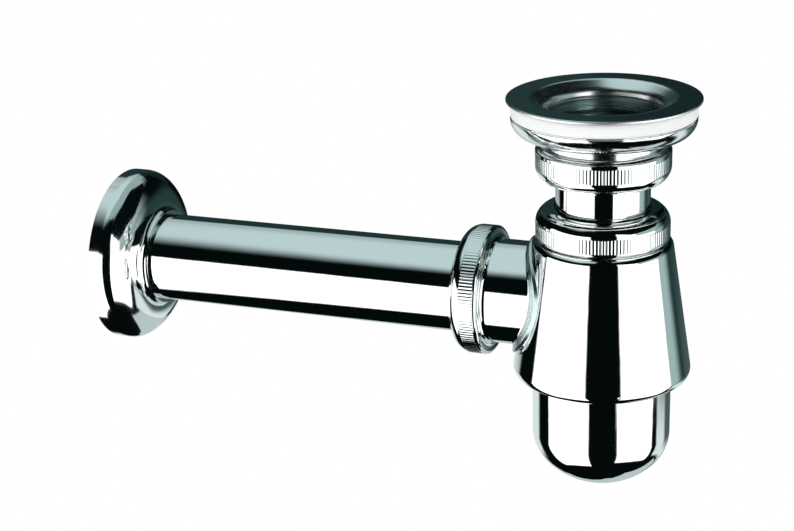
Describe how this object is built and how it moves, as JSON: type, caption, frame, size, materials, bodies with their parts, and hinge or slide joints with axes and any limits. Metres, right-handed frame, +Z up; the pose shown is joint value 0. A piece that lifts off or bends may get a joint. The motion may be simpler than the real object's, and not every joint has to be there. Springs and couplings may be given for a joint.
{
  "type": "basin trap",
  "caption": "Chromed bottle trap for a basin: dished waste, flared bottle with a screw-off cup, union nuts, wall tube and domed rosette.",
  "frame": {"origin": "centre of the waste, in the plane where its flange sits on the basin", "axes": "+Z up along the waste and the bottle; the wall is towards -X; the XZ plane is the plane of symmetry"},
  "size_m": [0.2158, 0.065, 0.1389],
  "materials": {
    "chromed_brass": "mirror-bright chrome plate",
    "turned_brass": "turned, unplated",
    "white_seal": "matt white",
    "black_seal": "matt black",
    "white_plastic": "satin white"
  },
  "bodies": {
    "waste": {"waste_flange": "chromed_brass"},
    "seal": {"waste_gasket": "white_seal"},
    "clamp_nut": {"back_nut": "chromed_brass"},
    "inlet": {"inlet_tube": "chromed_brass", "tail_washer": "black_seal"},
    "upper_seat": {"upper_slip_ring": "white_plastic"},
    "upper_union": {"upper_nut": "chromed_brass"},
    "top_seal": {"top_gasket": "black_seal"},
    "bottle": {"bottle_body": "chromed_brass", "top_socket": "turned_brass", "cup_ring": "turned_brass", "outlet_spigot": "chromed_brass", "side_gasket": "black_seal"},
    "top_seat": {"top_slip_ring": "white_plastic"},
    "top_union": {"top_nut": "chromed_brass"},
    "cup_seal": {"cup_gasket": "black_seal"},
    "cup_piece": {"cup": "chromed_brass"},
    "side_seat": {"side_slip_ring": "white_plastic"},
    "side_union": {"side_nut": "chromed_brass"},
    "tube": {"wall_tube": "chromed_brass"},
    "wall_plate": {"rosette": "chromed_brass"}
  },
  "joints": [
    {"name": "clamp_travel", "type": "slide", "parent": "waste", "child": "seal", "axis": [0, 0, -1], "range_m": [0, 0.00405]},
    {"name": "clamp_turn", "type": "hinge", "parent": "seal", "child": "clamp_nut", "pos_m": [0, 0, -0.0085], "axis": [0, 0, -1], "range_deg": [0, 630]},
    {"name": "inlet_swivel", "type": "hinge", "parent": "waste", "child": "inlet", "pos_m": [0, 0, -0.06], "axis": [0, 0, 1], "continuous": true},
    {"name": "upper_nut_travel", "type": "slide", "parent": "inlet", "child": "upper_seat", "axis": [0, 0, -1], "range_m": [0, 0.00693]},
    {"name": "upper_nut_turn", "type": "hinge", "parent": "upper_seat", "child": "upper_union", "pos_m": [0, 0, -0.0223], "axis": [0, 0, -1], "range_deg": [0, 1080]},
    {"name": "height", "type": "slide", "parent": "inlet", "child": "top_seal", "axis": [0, 0, -1], "range_m": [-0.007, 0.02]},
    {"name": "bottle_swivel", "type": "hinge", "parent": "top_seal", "child": "bottle", "pos_m": [0, 0, -0.07], "axis": [0, 0, 1], "continuous": true},
    {"name": "top_nut_travel", "type": "slide", "parent": "bottle", "child": "top_seat", "axis": [0, 0, 1], "range_m": [0, 0.00693]},
    {"name": "top_nut_turn", "type": "hinge", "parent": "top_seat", "child": "top_union", "pos_m": [0, 0, -0.0422], "axis": [0, 0, 1], "range_deg": [0, 1080]},
    {"name": "cup_travel", "type": "slide", "parent": "bottle", "child": "cup_seal", "axis": [0, 0, -1], "range_m": [0, 0.00693]},
    {"name": "cup_turn", "type": "hinge", "parent": "cup_seal", "child": "cup_piece", "pos_m": [0, 0, -0.1], "axis": [0, 0, -1], "range_deg": [0, 1080]},
    {"name": "side_nut_travel", "type": "slide", "parent": "bottle", "child": "side_seat", "axis": [-1, 0, 0], "range_m": [0, 0.00693]},
    {"name": "side_nut_turn", "type": "hinge", "parent": "side_seat", "child": "side_union", "pos_m": [-0.0443, 0, -0.0714], "axis": [-1, 0, 0], "range_deg": [0, 1080]},
    {"name": "tube_depth", "type": "slide", "parent": "bottle", "child": "tube", "axis": [1, 0, 0], "range_m": [-0.014, 0.008]},
    {"name": "rosette_slide", "type": "slide", "parent": "tube", "child": "wall_plate", "axis": [1, 0, 0], "range_m": [0, 0.095]}
  ],
  "couplings": [
    {"joint": "clamp_travel", "follows": "clamp_turn", "m_per_rad": 0.00036749},
    {"joint": "upper_nut_travel", "follows": "upper_nut_turn", "m_per_rad": 0.00036749},
    {"joint": "top_nut_travel", "follows": "top_nut_turn", "m_per_rad": 0.00036749},
    {"joint": "cup_travel", "follows": "cup_turn", "m_per_rad": 0.00036749},
    {"joint": "side_nut_travel", "follows": "side_nut_turn", "m_per_rad": 0.00036749}
  ]
}
